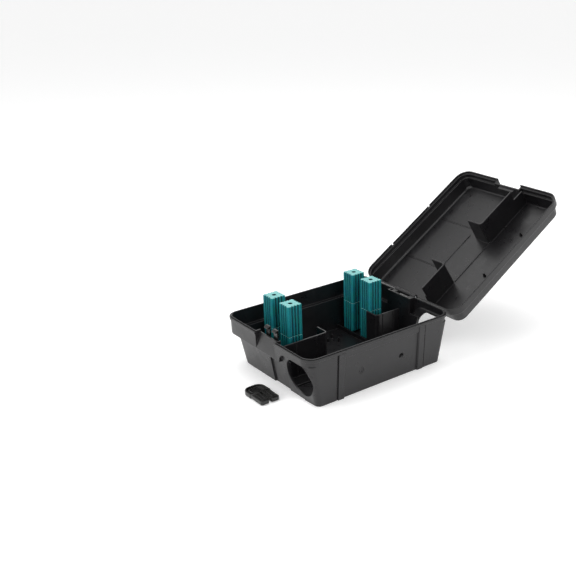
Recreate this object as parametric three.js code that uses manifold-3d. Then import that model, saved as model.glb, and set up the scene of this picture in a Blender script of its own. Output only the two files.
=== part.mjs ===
// Tamper-resistant rodent bait station: a moulded tub and hinged lid, a two-finger spring lock,
// four upright rods that each carry two fluted bait blocks, and the loose two-tine key.
// Millimetres. +Z up, the lock side faces -Y, the hinge is on +Y, the entry tunnel runs along +X.
import * as THREE from 'three';
import { mergeVertices } from 'three/addons/utils/BufferGeometryUtils.js';
import Module from 'manifold-3d';

const wasm = await Module();
wasm.setup();

// ---- driving sizes ----
const STATION_WIDTH = 212;
const STATION_LENGTH = 260;
const RIM_HEIGHT = 76;
const LID_DEPTH = 30;
const WALL = 2.5;
const CORNER_RADIUS = 19;
const LIP_HEIGHT = 5;
const LIP_PROUD = 1.5;
const BAND_HEIGHT = 27;
const BAND_STEP = 9.5;
const END_DRAFT = 8.5;
const SIDE_DRAFT = 6;
const RUNWAY_SIDE_DRAFT = 4.5;
const FRONT_SLOPE = 18.5;
const BACK_SLOPE = 16;
const EAVE_HEIGHT = 13;
const EAVE_STEP = 4;
const EAVE_ARC = 13;
const TUNNEL_LEAN = 9;
const TUNNEL_CORNER = 8;
const BEAD_INSET = 2.3;
const BEAD_HEIGHT = 1.8;
const LOCK_BAY_HALF_WIDTH = 24;
const LOCK_BAY_SET_BACK = 8.6;
const LOCK_BAY_DROP = 3;
const ENTRY_DIAMETER = 56;
const ENTRY_SILL = 7;
const ENTRY_SIDE_MARGIN = 8;
const TUNNEL_MARGIN = 8;
const PILLAR_WIDTH = 12;
const PILLAR_PITCH = 146;
const PANEL_RECESS = 1.2;
const PANEL_TOP_DROP = 9;
const ANCHOR_HOLE_DIAMETER = 8;
const ANCHOR_HOLE_PITCH = 73;
const ANCHOR_Z = 33;
const PLUG_DISH = 0.9;
const BAFFLE_THICKNESS = 2.4;
const BAFFLE_DROP = 19;
const BAFFLE_LEG = 24;
const BAFFLE_CORNER = 5;
const LID_BAFFLE_CLEAR = 3;
const CURB_HEIGHT = 6;
const BLOCK_SIDE = 25.4;
const FRONT_BAY_CLEAR = 76.6;
const BACK_BAY_CLEAR = 38.6;
const FRONT_BAY_LENGTH = FRONT_BAY_CLEAR + BLOCK_SIDE;
const BACK_BAY_LENGTH = BACK_BAY_CLEAR + BLOCK_SIDE;
const BLOCK_WALL_GAP = 5;
const COLUMN_GAP = 17;
const FRONT_ROW_GAP = 42;
const BACK_ROW_GAP = 17;
const BLOCK_HOLE_DIAMETER = 5.4;
const BLOCK_JOINT_GAP = 0.3;
const STACK_HEADROOM = 3.2;
const ROD_DIAMETER = 4;
const ROD_BOSS_DIAMETER = 13;
const ROD_BOSS_HEIGHT = 1.5;
const ROD_SHORTFALL = 4;
const FINGER_WIDTH = 9;
const FINGER_THICKNESS = 3;
const FINGER_SPACING = 19.4;
const FINGER_RISE = 10;
const FINGER_WALL_GAP = 3.4;
const BARB = 3.2;
const HINGE_PIN_DIAMETER = 3.5;
const KNUCKLE_DIAMETER = 8;
const HINGE_OUT = 3;
const HINGE_DROP = 2.5;
const OPEN_ANGLE = 148;
const SKIRT_PROUD = 2.8;
const LID_BAND_HEIGHT = 13;
const LID_BODY_STEP = 4.5;
const LID_DRAFT = 2.5;
const LID_CORNER_RADIUS = 14;
const LID_NOTCH_DEPTH = 4.5;
const LID_CROSS_RIB = 0.35;
const GRIP_LENGTH = 96;
const GRIP_SLOT = 3;
const KEY_LENGTH = 50;
const KEY_WIDTH = 31;
const KEY_THICKNESS = 6.5;
const KEY_TINE_WIDTH = 13.4;
const KEY_TINE_SPACING = 16.2;
const KEY_POCKET = 2.6;
// ---- clearances ----
const FIT = 0.3;
const LID_FIT = 0.8;
const SEAT_GAP = 0.4;
const PIN_FIT = 0.15;
const BARB_FIT = 0.6;

// ---- sizes that follow ----
const HALF_W = STATION_WIDTH / 2;
const HALF_L = STATION_LENGTH / 2;
const LIP_BOTTOM = RIM_HEIGHT - LIP_HEIGHT;
const BAND_BOTTOM = RIM_HEIGHT - BAND_HEIGHT;
const SHELL_X = HALF_W - LIP_PROUD;
const BAY_RIM_Y = -HALF_L + LOCK_BAY_SET_BACK;
const BAY_RIM_Z = RIM_HEIGHT - LOCK_BAY_DROP;
const EAVE_Z = RIM_HEIGHT - EAVE_HEIGHT;
const BACK_RECESS_Y = HALF_L - BAND_STEP - 0.5;
const ENTRY_RADIUS = ENTRY_DIAMETER / 2;
const ENTRY_X = HALF_W - ENTRY_SIDE_MARGIN - ENTRY_RADIUS;
const ENTRY_Z = WALL + ENTRY_SILL - 1 + ENTRY_RADIUS;
const TUNNEL_X = ENTRY_X - ENTRY_RADIUS - TUNNEL_MARGIN;
const LID_TOP = RIM_HEIGHT + LID_DEPTH;
const BLOCK_BASE = WALL + ROD_BOSS_HEIGHT + FIT;
const BLOCK_HEIGHT = (LID_TOP - WALL - STACK_HEADROOM - BLOCK_BASE - BLOCK_JOINT_GAP) / 2;
const STACK_TOP = BLOCK_BASE + 2 * BLOCK_HEIGHT + BLOCK_JOINT_GAP;
const COLUMN_PITCH = BLOCK_SIDE + COLUMN_GAP;
const LEFT_COLUMN_X = -HALF_W + BAND_STEP + SIDE_DRAFT + WALL + BLOCK_WALL_GAP + BLOCK_SIDE / 2;
const RIGHT_COLUMN_X = LEFT_COLUMN_X + COLUMN_PITCH;
const FRONT_ROW_Y = -HALF_L + FRONT_SLOPE - 8.5 + FRONT_ROW_GAP + BLOCK_SIDE / 2;
const BACK_ROW_Y = HALF_L - BACK_SLOPE + 0.3 - BACK_ROW_GAP - BLOCK_SIDE / 2;
const LID_BAFFLE_X = TUNNEL_X - 1;
const TUB_BAFFLE_X = (RIGHT_COLUMN_X + BLOCK_SIDE / 2 + LID_BAFFLE_X) / 2;
const BAFFLE_TOP = RIM_HEIGHT - BAFFLE_DROP;
const FRONT_LEG_Y = -HALF_L + FRONT_BAY_LENGTH;
const BACK_LEG_Y = HALF_L - BACK_BAY_LENGTH;
const HINGE_Y = HALF_L + HINGE_OUT;
const HINGE_Z = RIM_HEIGHT - HINGE_DROP;
const SKIRT_BOTTOM = HINGE_Z - 0.7;
const FINGER_Y = BAY_RIM_Y + WALL + FINGER_WALL_GAP;
const LOCK_BACK_Y = FINGER_Y + FINGER_THICKNESS / 2 + 10;
const SHELF_TOP = RIM_HEIGHT + 5.6;
const FINGER_TOP = RIM_HEIGHT + FINGER_RISE;
const FINGER_PIVOT_Z = BAND_BOTTOM + 3;
const LID_NOTCH_Y = -HALF_L + LID_NOTCH_DEPTH;

// ---- mesh helpers ----
function toManifold(geometry) {
  let g = geometry.clone();
  for (const name of Object.keys(g.attributes)) if (name !== 'position') g.deleteAttribute(name);
  g = mergeVertices(g, 1e-5);
  return new wasm.Manifold(new wasm.Mesh({
    numProp: 3,
    vertProperties: new Float32Array(g.attributes.position.array),
    triVerts: new Uint32Array(g.index.array),
  }));
}

function toGeometry(manifold) {
  const m = manifold.getMesh();
  const g = new THREE.BufferGeometry();
  g.setAttribute('position', new THREE.BufferAttribute(Float32Array.from(m.vertProperties), 3));
  g.setIndex(new THREE.BufferAttribute(Uint32Array.from(m.triVerts), 1));
  const flat = g.toNonIndexed();
  flat.computeVertexNormals();
  return flat;
}

const union = (...parts) => parts.reduce((a, b) => a.add(b));
const cut = (body, ...tools) => tools.reduce((a, b) => a.subtract(b), body);

function box(x0, x1, y0, y1, z0, z1) {
  const g = new THREE.BoxGeometry(x1 - x0, y1 - y0, z1 - z0);
  g.translate((x0 + x1) / 2, (y0 + y1) / 2, (z0 + z1) / 2);
  return toManifold(g);
}

// A rounded rectangle as a counter-clockwise loop; radii run front-left, front-right, back-right, back-left.
function roundedLoop(x0, x1, y0, y1, radii, segments = 6) {
  const [a, b, c, d] = Array.isArray(radii) ? radii : [radii, radii, radii, radii];
  const corners = [
    [x0 + a, y0 + a, a, Math.PI], [x1 - b, y0 + b, b, 1.5 * Math.PI],
    [x1 - c, y1 - c, c, 0], [x0 + d, y1 - d, d, 0.5 * Math.PI],
  ];
  const loop = [];
  for (const [cx, cy, r, start] of corners) {
    for (let i = 0; i <= segments; i += 1) {
      const t = start + (i / segments) * Math.PI / 2;
      loop.push([cx + r * Math.cos(t), cy + r * Math.sin(t)]);
    }
  }
  return loop;
}

// A closed solid through convex loops of equal count, each {z, loop}.
function loft(levels) {
  const n = levels[0].loop.length;
  const points = [];
  const faces = [];
  for (const { z, loop } of levels) for (const [x, y] of loop) points.push(x, y, z);
  for (let k = 0; k + 1 < levels.length; k += 1) {
    for (let i = 0; i < n; i += 1) {
      const j = (i + 1) % n;
      const [a, b, c, d] = [k * n + i, k * n + j, (k + 1) * n + j, (k + 1) * n + i];
      faces.push(a, b, c, a, c, d);
    }
  }
  for (const k of [0, levels.length - 1]) {
    const { z, loop } = levels[k];
    const mid = points.length / 3;
    points.push(loop.reduce((s, p) => s + p[0], 0) / n, loop.reduce((s, p) => s + p[1], 0) / n, z);
    for (let i = 0; i < n; i += 1) {
      const [a, b] = [k * n + i, k * n + ((i + 1) % n)];
      if (k === 0) faces.push(mid, b, a);
      else faces.push(mid, a, b);
    }
  }
  const g = new THREE.BufferGeometry();
  g.setAttribute('position', new THREE.Float32BufferAttribute(points, 3));
  g.setIndex(faces);
  return toManifold(g);
}

// A tapered box between two levels, each [x0, x1, y0, y1], with rounded upright edges.
function taper(z0, low, r0, z1, high, r1, segments = 6) {
  return loft([
    { z: z0, loop: roundedLoop(...low, r0, segments) },
    { z: z1, loop: roundedLoop(...high, r1, segments) },
  ]);
}

function extrude(points, depth) {
  const shape = new THREE.Shape(points.map(([x, y]) => new THREE.Vector2(x, y)));
  return new THREE.ExtrudeGeometry(shape, { depth, bevelEnabled: false });
}

// A profile in (y, z) carried along X.
function alongX(profile, x0, x1) {
  const g = extrude(profile, x1 - x0);
  const m = new THREE.Matrix4().makeBasis(
    new THREE.Vector3(0, 1, 0), new THREE.Vector3(0, 0, 1), new THREE.Vector3(1, 0, 0));
  g.applyMatrix4(m);
  g.translate(x0, 0, 0);
  return toManifold(g);
}

// A profile in (x, z) carried along Y.
function alongY(profile, y0, y1) {
  const g = extrude(profile, y1 - y0);
  g.rotateX(Math.PI / 2);
  g.translate(0, y1, 0);
  return toManifold(g);
}

// A plan outline in (x, y) carried up Z.
function upZ(outline, z0, z1) {
  const g = extrude(outline, z1 - z0);
  g.translate(0, 0, z0);
  return toManifold(g);
}

function cylinder(from, to, radius, sides = 32, radiusTo = radius) {
  const a = new THREE.Vector3(...from);
  const b = new THREE.Vector3(...to);
  const dir = b.clone().sub(a);
  const g = new THREE.CylinderGeometry(radiusTo, radius, dir.length(), sides);
  const q = new THREE.Quaternion().setFromUnitVectors(new THREE.Vector3(0, 1, 0), dir.clone().normalize());
  g.applyQuaternion(q);
  g.translate((a.x + b.x) / 2, (a.y + b.y) / 2, (a.z + b.z) / 2);
  return toManifold(g);
}

// The plan outline of an upright wall: a centre line of [x, y] points with rounded corners, and a thickness.
function wallOutline(points, thickness, radius) {
  const line = [points[0]];
  for (let i = 1; i + 1 < points.length; i += 1) {
    const p = new THREE.Vector2(...points[i]);
    const a = new THREE.Vector2(...points[i - 1]).sub(p).normalize();
    const b = new THREE.Vector2(...points[i + 1]).sub(p).normalize();
    const start = p.clone().addScaledVector(a, radius);
    const end = p.clone().addScaledVector(b, radius);
    for (let k = 0; k <= 5; k += 1) {
      const t = k / 5;
      const q = start.clone().multiplyScalar((1 - t) ** 2)
        .addScaledVector(p, 2 * t * (1 - t)).addScaledVector(end, t * t);
      line.push([q.x, q.y]);
    }
  }
  line.push(points[points.length - 1]);
  const left = [];
  const right = [];
  line.forEach(([x, y], i) => {
    const [px, py] = line[Math.max(i - 1, 0)];
    const [nx, ny] = line[Math.min(i + 1, line.length - 1)];
    const len = Math.hypot(nx - px, ny - py);
    const [ox, oy] = [-(ny - py) / len * thickness / 2, (nx - px) / len * thickness / 2];
    left.push([x + ox, y + oy]);
    right.push([x - ox, y - oy]);
  });
  return left.concat(right.reverse());
}

const plasticBlack = () => new THREE.MeshStandardMaterial({ color: 0x3c3b3f, roughness: 0.55 });
const plasticGloss = () => new THREE.MeshStandardMaterial({ color: 0x1b1b1d, roughness: 0.3 });
const steel = () => new THREE.MeshStandardMaterial({ color: 0xb4b6b8, roughness: 0.35, metalness: 0.9 });
const bait = () => new THREE.MeshStandardMaterial({ color: 0x15787c, roughness: 0.7 });

function piece(name, manifold, material) {
  const mesh = new THREE.Mesh(toGeometry(manifold), material);
  mesh.name = name;
  return mesh;
}

// ---- tub ----
// Sloping end walls of the tunnel side, at height z: where the outer face stands.
const slopeFront = (z) => -HALF_L + EAVE_STEP + (FRONT_SLOPE - EAVE_STEP) * (1 - z / EAVE_Z);
const slopeBack = (z) => HALF_L - EAVE_STEP - (BACK_SLOPE - EAVE_STEP) * (1 - z / EAVE_Z);
// Inner face of the set-back strip of the front wall between the lock bay and the tunnel.
const stepInner = (z) => -HALF_L + BAND_STEP + END_DRAFT * (1 - z / BAND_BOTTOM) + 2.4 + WALL;
const sideRight = (z) => SHELL_X - RUNWAY_SIDE_DRAFT * (1 - z / RIM_HEIGHT);

// Body, band, tunnel side and lip; inset is 0 outside and the wall thickness inside.
function tubShape(inset, floor, top) {
  const t = inset;
  const share = (z) => 1 - z / BAND_BOTTOM;
  const bodyAt = (z) => [
    -HALF_W + BAND_STEP + SIDE_DRAFT * share(z) + t, sideRight(z) - t,
    -HALF_L + BAND_STEP + END_DRAFT * share(z) + t, HALF_L - BAND_STEP - END_DRAFT * share(z) - t,
  ];
  const r = CORNER_RADIUS - t;
  const join = BAND_BOTTOM + (t ? WALL + 1 : 1);
  const body = taper(floor, bodyAt(floor), r - 3, join, bodyAt(join), r - 3);
  const bandFloor = BAND_BOTTOM + t;
  const band = taper(
    bandFloor, [-HALF_W + 1.8 + t, sideRight(bandFloor) - t, -HALF_L + 1.8 + t, HALF_L - 1.8 - t], r - 1,
    top, [-HALF_W + 1 + t, SHELL_X + (t ? 0 : 0.2) - t, -HALF_L + 1 + t, HALF_L - 1 - t], r);
  return union(body, band);
}

// The entry tunnel's end walls slope back under the eaves; its lock-side edge leans towards the entry.
function tunnelShape(inset, floor) {
  const t = inset;
  const top = EAVE_Z + (t ? WALL + 1 : 1);
  const at = (z) => [
    TUNNEL_X + TUNNEL_LEAN * z / EAVE_Z + t, sideRight(z) - t, slopeFront(z) + t, slopeBack(z) - t,
  ];
  const r = TUNNEL_CORNER - t;
  return taper(floor, at(floor), [1.2, r, r, 1.2], top, at(top), [1.2, r + 3, r + 3, 1.2]);
}

// The space under the eaves, in front of the sloping ends; at the lock side it ends in a quarter arch.
function eaveSpace(t) {
  const low = BAND_BOTTOM - 4;
  const high = EAVE_Z + t;
  const arch = EAVE_ARC + t;
  const middle = TUNNEL_X + EAVE_ARC;
  const outline = [[middle - arch, low], [HALF_W + 9, low], [HALF_W + 9, high]];
  for (let i = 0; i <= 8; i += 1) {
    const a = Math.PI / 2 + (i / 8) * Math.PI / 2;
    outline.push([middle + arch * Math.cos(a), EAVE_Z - EAVE_ARC + arch * Math.sin(a)]);
  }
  const window = alongY(outline, -HALF_L - 12, HALF_L + 12);
  const wedge = (y, out) => alongX(
    out < 0 ? [[out, low], [y(low) + t, low], [y(high) + t, high], [out, high]]
      : [[y(low) - t, low], [out, low], [out, high], [y(high) - t, high]],
    TUNNEL_X - WALL - 1, HALF_W + 10);
  return union(wedge(slopeFront, -HALF_L - 12), wedge(slopeBack, HALF_L + 12)).intersect(window);
}

// At the lock side the band slopes back towards the rim; at the hinge side it stands back as a square bay.
function bayCutters(t, z1) {
  const half = LOCK_BAY_HALF_WIDTH + t;
  const foot = -HALF_L + 1.4;
  const front = alongX([
    [-HALF_L - 9, BAND_BOTTOM], [foot + t, BAND_BOTTOM], [BAY_RIM_Y + t, BAY_RIM_Z], [BAY_RIM_Y + t, z1],
    [-HALF_L - 9, z1],
  ], -half, half);
  const back = box(-half, half, BACK_RECESS_Y - t, HALF_L + 9, BAND_BOTTOM - 6, z1);
  return [front, back];
}

// The rim: a thin bead on the inner edge with a groove outside it, left out across the lock bay.
function rimGroove() {
  const ring = (inset, z0) => taper(
    z0, [-HALF_W + inset, HALF_W - inset, -HALF_L + inset, HALF_L - inset], CORNER_RADIUS - inset,
    RIM_HEIGHT + 1, [-HALF_W + inset, HALF_W - inset, -HALF_L + inset, HALF_L - inset],
    CORNER_RADIUS - inset);
  const beadCore = ring(BEAD_INSET, RIM_HEIGHT - BEAD_HEIGHT - 2);
  const shoulder = cut(ring(-3, RIM_HEIGHT - 0.9), beadCore);
  const groove = cut(ring(BEAD_INSET - 1.1, RIM_HEIGHT - BEAD_HEIGHT - 0.6), beadCore);
  const bayRim = box(-LOCK_BAY_HALF_WIDTH, LOCK_BAY_HALF_WIDTH, -HALF_L - 9, BAY_RIM_Y + WALL + 2, BAY_RIM_Z,
    RIM_HEIGHT + 1);
  return union(shoulder, groove, bayRim);
}

function sidePanel() {
  const half = (PILLAR_PITCH - PILLAR_WIDTH) / 2;
  const lean = (z, out) => sideRight(z) + out;
  const top = LIP_BOTTOM - PANEL_TOP_DROP;
  const recess = (z0, z1, y0, y1, depth) => loft([
    { z: z0, loop: [[lean(z0, -depth), y0], [lean(z0, 6), y0], [lean(z0, 6), y1], [lean(z0, -depth), y1]] },
    { z: z1, loop: [[lean(z1, -depth), y0], [lean(z1, 6), y0], [lean(z1, 6), y1], [lean(z1, -depth), y1]] },
  ]);
  const panel = recess(-1, top, -half, half, PANEL_RECESS);
  const grooves = [-1, 1].map((s) => {
    const y = s * (PILLAR_PITCH + PILLAR_WIDTH) / 2;
    return recess(-1, LIP_BOTTOM, y - 0.9, y + 0.9, PANEL_RECESS);
  });
  return [panel, ...grooves];
}

function pillars() {
  return [-1, 1].map((s) => {
    const y = s * PILLAR_PITCH / 2;
    const at = (z) => [
      [sideRight(z) - 1, y - PILLAR_WIDTH / 2], [sideRight(z) + 1.4, y - PILLAR_WIDTH / 2 + 0.8],
      [sideRight(z) + 1.4, y + PILLAR_WIDTH / 2 - 0.8], [sideRight(z) - 1, y + PILLAR_WIDTH / 2],
    ];
    return loft([{ z: 0, loop: at(0) }, { z: LIP_BOTTOM + 1, loop: at(LIP_BOTTOM + 1) }]);
  });
}

function baffle(leg, end) {
  const x = TUB_BAFFLE_X;
  const path = [[x, end], [x, leg], [x - BAFFLE_LEG, leg]];
  const wall = upZ(wallOutline(path, BAFFLE_THICKNESS, BAFFLE_CORNER), WALL - 0.5, BAFFLE_TOP);
  const ribs = [0.25, 0.72].map((share) => {
    const y = leg + (end - leg) * share;
    return box(x, x + BAFFLE_THICKNESS / 2 + 1, y - 1, y + 1, WALL - 0.5, BAFFLE_TOP);
  });
  return union(wall, ...ribs);
}

const rodPlaces = () => [
  ['front_left', LEFT_COLUMN_X, FRONT_ROW_Y], ['front_right', RIGHT_COLUMN_X, FRONT_ROW_Y],
  ['back_left', LEFT_COLUMN_X, BACK_ROW_Y], ['back_right', RIGHT_COLUMN_X, BACK_ROW_Y],
];

function floorDetails() {
  const left = -HALF_W + BAND_STEP + SIDE_DRAFT + 1;
  const curbs = [FRONT_LEG_Y, BACK_LEG_Y].map((y) => box(
    left, TUB_BAFFLE_X - BAFFLE_LEG + 1, y - BAFFLE_THICKNESS / 2, y + BAFFLE_THICKNESS / 2,
    WALL - 0.5, WALL + CURB_HEIGHT));
  const runway = box(TUNNEL_X + 1, TUNNEL_X + 3, slopeFront(WALL) + 1, slopeBack(WALL) - 1,
    WALL - 0.5, WALL + CURB_HEIGHT / 2);
  const bosses = rodPlaces().map(([, x, y]) => cylinder(
    [x, y, WALL - 0.5], [x, y, WALL + ROD_BOSS_HEIGHT], ROD_BOSS_DIAMETER / 2));
  const midX = LEFT_COLUMN_X + 6;
  const midY = (FRONT_LEG_Y + BACK_LEG_Y) / 2;
  const pegs = [[midX, midY + 16], [midX + 18, midY + 16], [midX + 9, midY + 2]].map(([x, y]) => cylinder(
    [x, y, WALL - 0.5], [x, y, WALL + 7], 2.4, 20, 1.8));
  return union(runway, ...curbs, ...bosses, ...pegs);
}

// The hinge ears stand in the back bay either side of the lid's knuckle.
const EAR_INNER = 14;
const EAR_OUTER = LOCK_BAY_HALF_WIDTH - 1;
function hingeEars() {
  const r = KNUCKLE_DIAMETER / 2;
  return [-1, 1].map((s) => {
    const [x0, x1] = s < 0 ? [-EAR_OUTER, -EAR_INNER] : [EAR_INNER, EAR_OUTER];
    const arm = alongX([
      [BACK_RECESS_Y - 1.5, HINGE_Z - 16], [BACK_RECESS_Y, HINGE_Z - 16], [HINGE_Y + 2.6, HINGE_Z - 3.1],
      [HINGE_Y, HINGE_Z + 1], [BACK_RECESS_Y - 1.5, HINGE_Z + 1],
    ], x0, x1);
    return union(arm, cylinder([x0, HINGE_Y, HINGE_Z], [x1, HINGE_Y, HINGE_Z], r));
  });
}

// Pads behind the two anchor holes, so that a screw head pulls on more than the thin panel.
function anchorBosses() {
  const x = sideRight(ANCHOR_Z) - WALL;
  return [-1, 1].map((s) => cylinder(
    [x - 1.8, s * ANCHOR_HOLE_PITCH / 2, ANCHOR_Z], [x + 0.8, s * ANCHOR_HOLE_PITCH / 2, ANCHOR_Z],
    ANCHOR_HOLE_DIAMETER, 28));
}

function tub() {
  const lip = taper(
    LIP_BOTTOM, [-HALF_W, HALF_W, -HALF_L, HALF_L], CORNER_RADIUS,
    RIM_HEIGHT, [-HALF_W, HALF_W, -HALF_L, HALF_L], CORNER_RADIUS);
  // the wall between the lock bay and the tunnel stands a little further back
  const stepAt = (offset, top, x0) => alongX([
    [-HALF_L - 9, -1], [stepInner(-1) - offset, -1], [stepInner(BAND_BOTTOM - 3) - offset, BAND_BOTTOM - 3],
    [stepInner(BAND_BOTTOM - 3) - offset, top], [-HALF_L - 9, top],
  ], x0, ENTRY_X);
  let outer = cut(tubShape(0, 0, RIM_HEIGHT), stepAt(WALL, BAND_BOTTOM - 3, -3));
  outer = union(outer, tunnelShape(0, 0), lip, ...pillars());
  outer = cut(outer, ...sidePanel(), ...bayCutters(0, RIM_HEIGHT + 1), eaveSpace(0), rimGroove());
  let hollow = cut(tubShape(WALL, WALL, RIM_HEIGHT + 1), stepAt(0, BAND_BOTTOM - 3 + WALL, -3 - WALL));
  hollow = cut(union(hollow, tunnelShape(WALL, WALL)), ...bayCutters(WALL, RIM_HEIGHT + 2), eaveSpace(WALL));
  let body = cut(outer, hollow);
  body = union(body, baffle(FRONT_LEG_Y, LOCK_BACK_Y + 1),
    baffle(BACK_LEG_Y, HALF_L - BAND_STEP - END_DRAFT - 1.2), floorDetails(), ...hingeEars(),
    ...anchorBosses());
  // the eave flattens the top of each round entry
  const underEave = box(0, HALF_W + 9, -HALF_L - 12, HALF_L + 12, -1, EAVE_Z - 1);
  const bores = [
    cylinder([ENTRY_X, -HALF_L - 9, ENTRY_Z], [ENTRY_X, -HALF_L + 45, ENTRY_Z], ENTRY_RADIUS, 48)
      .intersect(underEave),
    cylinder([ENTRY_X, HALF_L - 45, ENTRY_Z], [ENTRY_X, HALF_L + 9, ENTRY_Z], ENTRY_RADIUS, 48)
      .intersect(underEave),
    ...[-1, 1].map((s) => cylinder(
      [HALF_W - 20, s * ANCHOR_HOLE_PITCH / 2, ANCHOR_Z],
      [HALF_W + 5, s * ANCHOR_HOLE_PITCH / 2, ANCHOR_Z], ANCHOR_HOLE_DIAMETER / 2, 24)),
    ...rodPlaces().map(([, x, y]) => cylinder(
      [x, y, 1], [x, y, WALL + ROD_BOSS_HEIGHT + 1], ROD_DIAMETER / 2 + FIT, 24)),
    cylinder([-LOCK_BAY_HALF_WIDTH - 1.5, HINGE_Y, HINGE_Z], [LOCK_BAY_HALF_WIDTH + 1.5, HINGE_Y, HINGE_Z],
      HINGE_PIN_DIAMETER / 2 + PIN_FIT, 24),
  ];
  return cut(body, ...bores);
}

// ---- lid, drawn closed, then hung on the hinge line ----
function lidShape(t, bottom) {
  const bodyAt = (z, extra = 0) => {
    const s = LID_BODY_STEP - SKIRT_PROUD + LID_DRAFT * (z - RIM_HEIGHT) / LID_DEPTH + t + extra;
    return [-HALF_W + s, HALF_W - s, -HALF_L + s, HALF_L + 1 - s];
  };
  const r = LID_CORNER_RADIUS - 2 * t;
  const top = LID_TOP - t;
  const body = loft([
    { z: bottom, loop: roundedLoop(...bodyAt(bottom), r) },
    { z: top - 3, loop: roundedLoop(...bodyAt(top - 3), r) },
    { z: top - 0.9, loop: roundedLoop(...bodyAt(top, 0.9), r) },
    { z: top, loop: roundedLoop(...bodyAt(top, 3), r - 2) },
  ]);
  return body;
}

function lidBandAt(out) {
  return [-HALF_W - out, HALF_W + out, -HALF_L - out, HALF_L + Math.min(out, HINGE_OUT - 1)];
}

// Each lid baffle reaches down into the tub; from its end a shallower web runs on to the lid's own wall.
function lidBaffle(leg, end, wall) {
  const x = LID_BAFFLE_X;
  const half = BAFFLE_THICKNESS / 2;
  const path = [[x, end], [x, leg], [x - BAFFLE_LEG - 5, leg]];
  return union(
    upZ(wallOutline(path, BAFFLE_THICKNESS, BAFFLE_CORNER), BAFFLE_TOP + LID_BAFFLE_CLEAR, LID_TOP - 1),
    box(x - half, x + half, Math.min(end, wall), Math.max(end, wall), RIM_HEIGHT + SEAT_GAP + 0.6,
      LID_TOP - 1));
}

function lidBayCutters(t) {
  const half = LOCK_BAY_HALF_WIDTH + 1 - t;
  return box(-half, half, -HALF_L - 12, LID_NOTCH_Y - t, SKIRT_BOTTOM - 1, LID_TOP - 9 - t);
}

// The catch the fingers hook over: a shelf inside the set-back wall.
function catchShelf() {
  const y0 = LID_NOTCH_Y + 0.5;
  const y1 = FINGER_Y - FINGER_THICKNESS / 2 - BARB_FIT;
  const half = FINGER_SPACING / 2 + FINGER_WIDTH / 2 + 2;
  return box(-half, half, y0, y1, SHELF_TOP - 2.4, SHELF_TOP);
}

function lidFloorRibs() {
  const top = LID_TOP - WALL;
  const [y0, y1] = [FRONT_LEG_Y + 1, BACK_LEG_Y - 1];
  const long = [LID_BAFFLE_X, LID_BAFFLE_X - 46].map((x) => box(
    x - 0.8, x + 0.8, y0, y1, top - 1.4, top + 1));
  const pegs = [FRONT_LEG_Y - 30, BACK_LEG_Y - 30].map((y) => cylinder(
    [HALF_W - 32, y, top + 1], [HALF_W - 32, y, top - 7], 2.6, 16, 1.4));
  const cross = [-1, 1].map((s) => box(-HALF_W + 10, LID_BAFFLE_X - 46, 6 + s * 46 - 1, 6 + s * 46 + 1,
    top - LID_CROSS_RIB, top + 1));
  const ejectorPips = [[-HALF_W + 26, -HALF_L + 26], [40, -HALF_L + 26]].map(([x, y]) => cylinder(
    [x, y, top + 1], [x, y, top - 2], 1.6, 12, 1.1));
  return union(...long, ...pegs, ...cross, ...ejectorPips);
}

function lidClosed() {
  const bandTop = SKIRT_BOTTOM + LID_BAND_HEIGHT;
  const r = CORNER_RADIUS + SKIRT_PROUD;
  const band = loft([
    { z: SKIRT_BOTTOM, loop: roundedLoop(...lidBandAt(SKIRT_PROUD - 0.5), r - 0.5) },
    { z: SKIRT_BOTTOM + 0.8, loop: roundedLoop(...lidBandAt(SKIRT_PROUD), r) },
    { z: bandTop - 1, loop: roundedLoop(...lidBandAt(SKIRT_PROUD - 0.4), r - 0.4) },
    { z: bandTop, loop: roundedLoop(...lidBandAt(SKIRT_PROUD - 1.4), r - 1.4) },
  ]);
  let outer = union(band, lidShape(0, bandTop - 3));
  outer = cut(outer, lidBayCutters(0));
  const skirtHollow = taper(
    SKIRT_BOTTOM - 1, lidBandAt(LID_FIT), CORNER_RADIUS + LID_FIT,
    RIM_HEIGHT + SEAT_GAP, lidBandAt(LID_FIT), CORNER_RADIUS + LID_FIT);
  const seatHollow = taper(
    RIM_HEIGHT - 1, lidBandAt(-1.6), CORNER_RADIUS - 1.6,
    bandTop - WALL, lidBandAt(-1.9), CORNER_RADIUS - 1.9);
  let hollow = union(seatHollow, lidShape(WALL, bandTop - WALL - 1));
  hollow = cut(hollow, lidBayCutters(-WALL));
  let body = cut(outer, hollow, skirtHollow);
  body = union(body, lidBaffle(FRONT_LEG_Y + 3, -HALF_L + 28, -HALF_L + 6.5),
    lidBaffle(BACK_LEG_Y, HALF_L - 9, HALF_L - 7),
    lidFloorRibs(), catchShelf());
  return body;
}

function sideGrip() {
  // shallow finger grip on the left long side of the lid's band
  const mid = 11;
  const [y0, y1] = [mid - GRIP_LENGTH / 2, mid + GRIP_LENGTH / 2];
  const scoop = box(-HALF_W - 9, -HALF_W - SKIRT_PROUD + 1.2, y0, y1, SKIRT_BOTTOM - 1,
    SKIRT_BOTTOM + LID_BAND_HEIGHT + 0.5);
  // at each end of the grip the skirt is slotted up to its seat
  const slots = [y0, y1].map((y) => box(-HALF_W - 9, -HALF_W + 1, y - GRIP_SLOT / 2, y + GRIP_SLOT / 2,
    SKIRT_BOTTOM - 1, RIM_HEIGHT + SEAT_GAP - 0.6));
  return union(scoop, ...slots);
}

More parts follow.
